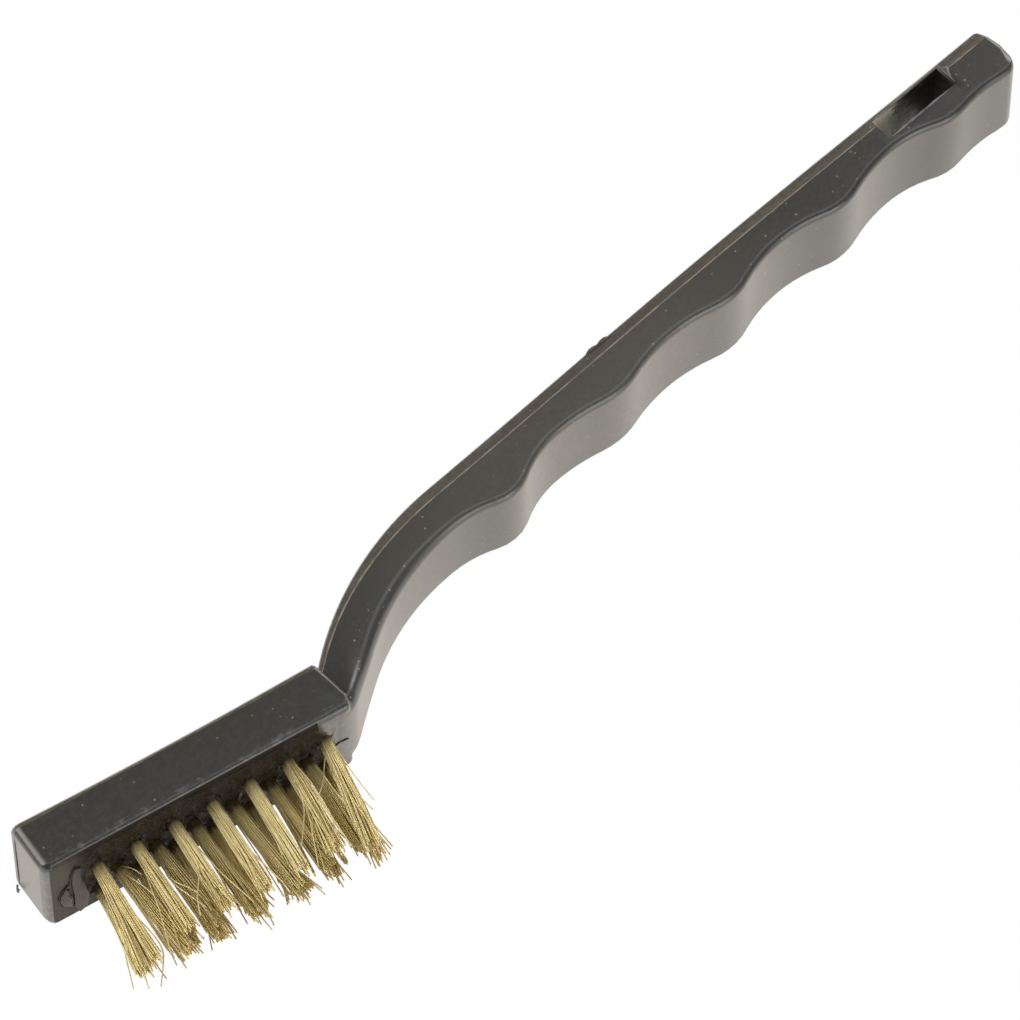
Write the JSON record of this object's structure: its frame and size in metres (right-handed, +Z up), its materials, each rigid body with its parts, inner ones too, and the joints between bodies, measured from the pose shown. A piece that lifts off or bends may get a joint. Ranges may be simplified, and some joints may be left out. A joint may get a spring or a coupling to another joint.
{
  "type": "wire brush",
  "caption": "Small hand wire brush: black moulded handle with swan neck, finger grooves and hanging slot, and a tilted head block set with brass wire tufts.",
  "frame": {"origin": "middle of the head's lower flank, the face that the brush lies on", "axes": "+X along the grip from the head to the hanging end, +Y towards the back of the brush, so the bristles point to -Y and lean with the head, +Z up across the width"},
  "size_m": [0.1812, 0.0336, 0.0164],
  "materials": {
    "black_plastic": "satin black moulded polypropylene",
    "brass_wire": "drawn brass wire, slightly dulled",
    "anchor_steel": "flat steel anchor strip"
  },
  "bodies": {
    "root": {"handle": "black_plastic", "wire_tuft_01": "brass_wire", "wire_tuft_02": "brass_wire", "wire_tuft_03": "brass_wire", "wire_tuft_04": "brass_wire", "wire_tuft_05": "brass_wire", "wire_tuft_06": "brass_wire", "wire_tuft_07": "brass_wire", "wire_tuft_08": "brass_wire", "wire_tuft_09": "brass_wire", "wire_tuft_10": "brass_wire", "wire_tuft_11": "brass_wire", "wire_tuft_12": "brass_wire", "wire_tuft_13": "brass_wire", "wire_tuft_14": "brass_wire", "wire_tuft_15": "brass_wire", "wire_tuft_16": "brass_wire", "wire_tuft_17": "brass_wire", "wire_tuft_18": "brass_wire", "wire_tuft_19": "brass_wire", "wire_tuft_20": "brass_wire", "tuft_anchor_01": "anchor_steel", "tuft_anchor_02": "anchor_steel", "tuft_anchor_03": "anchor_steel", "tuft_anchor_04": "anchor_steel", "tuft_anchor_05": "anchor_steel", "tuft_anchor_06": "anchor_steel", "tuft_anchor_07": "anchor_steel", "tuft_anchor_08": "anchor_steel", "tuft_anchor_09": "anchor_steel", "tuft_anchor_10": "anchor_steel", "tuft_anchor_11": "anchor_steel", "tuft_anchor_12": "anchor_steel", "tuft_anchor_13": "anchor_steel", "tuft_anchor_14": "anchor_steel", "tuft_anchor_15": "anchor_steel", "tuft_anchor_16": "anchor_steel", "tuft_anchor_17": "anchor_steel", "tuft_anchor_18": "anchor_steel", "tuft_anchor_19": "anchor_steel", "tuft_anchor_20": "anchor_steel"}
  },
  "joints": []
}
